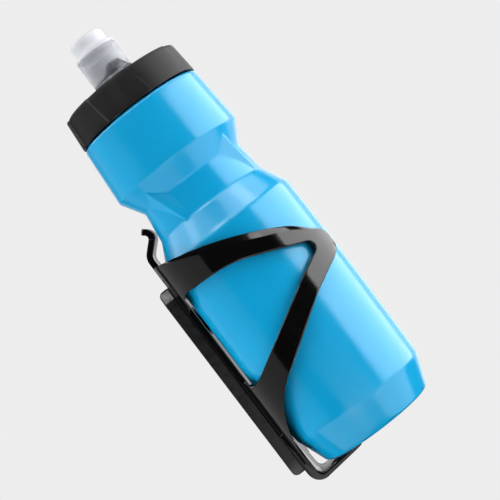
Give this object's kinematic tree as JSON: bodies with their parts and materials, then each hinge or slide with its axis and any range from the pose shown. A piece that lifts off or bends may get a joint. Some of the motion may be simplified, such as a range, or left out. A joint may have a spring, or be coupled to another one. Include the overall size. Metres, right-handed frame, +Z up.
{
  "type": "sports squeeze bottle in cage",
  "caption": "Squeeze bottle with a gripping waist, screw cap and pull-up drinking valve, held in a wrap-around bicycle bottle cage on a slotted rail.",
  "frame": {"origin": "the centre of the cage's two frame-bolt slots, on the rail face that lies on the bicycle frame", "axes": "+Z up along the bottle's axis, from base to mouthpiece; +X from the bicycle frame towards the bottle; +Y across the cage"},
  "size_m": [0.0841, 0.0814, 0.2373],
  "materials": {
    "body_cyan": "satin, slightly see-through blow-moulded polyethylene",
    "cap_black": "fine-grained black polypropylene",
    "valve_grey": "polished dark grey",
    "nozzle_clear": "clear, lightly frosted",
    "mouth_silicone": "soft white silicone",
    "seal_silicone": "matt grey silicone",
    "cage_black": "glossy black glass-filled nylon"
  },
  "bodies": {
    "cage": {"cage_body": "cage_black", "retention_tab": "cage_black", "mounting_rail": "cage_black"},
    "bottle": {"bottle_body": "body_cyan"},
    "seal": {"cap_gasket": "seal_silicone"},
    "cap": {"cap_shell": "cap_black", "valve_base": "valve_grey", "tower_o_ring": "seal_silicone"},
    "nozzle": {"nozzle_shell": "nozzle_clear", "slit_membrane": "mouth_silicone", "mouthpiece": "mouth_silicone"}
  },
  "joints": [
    {"name": "bottle_slide", "type": "slide", "parent": "cage", "child": "bottle", "axis": [0, 0, 1], "range_m": [0, 0.16], "deforming": ["retention_tab"]},
    {"name": "cap_rise", "type": "slide", "parent": "bottle", "child": "seal", "axis": [0, 0, 1], "range_m": [0, 0.0135]},
    {"name": "cap_unscrew", "type": "hinge", "parent": "seal", "child": "cap", "pos_m": [0.0465, 0, 0.14], "axis": [0, 0, 1], "range_deg": [0, 810]},
    {"name": "nozzle_pull", "type": "slide", "parent": "cap", "child": "nozzle", "axis": [0, 0, 1], "range_m": [0, 0.004]}
  ],
  "couplings": [
    {"joint": "cap_rise", "follows": "cap_unscrew", "m_per_rad": 0.00095493}
  ]
}
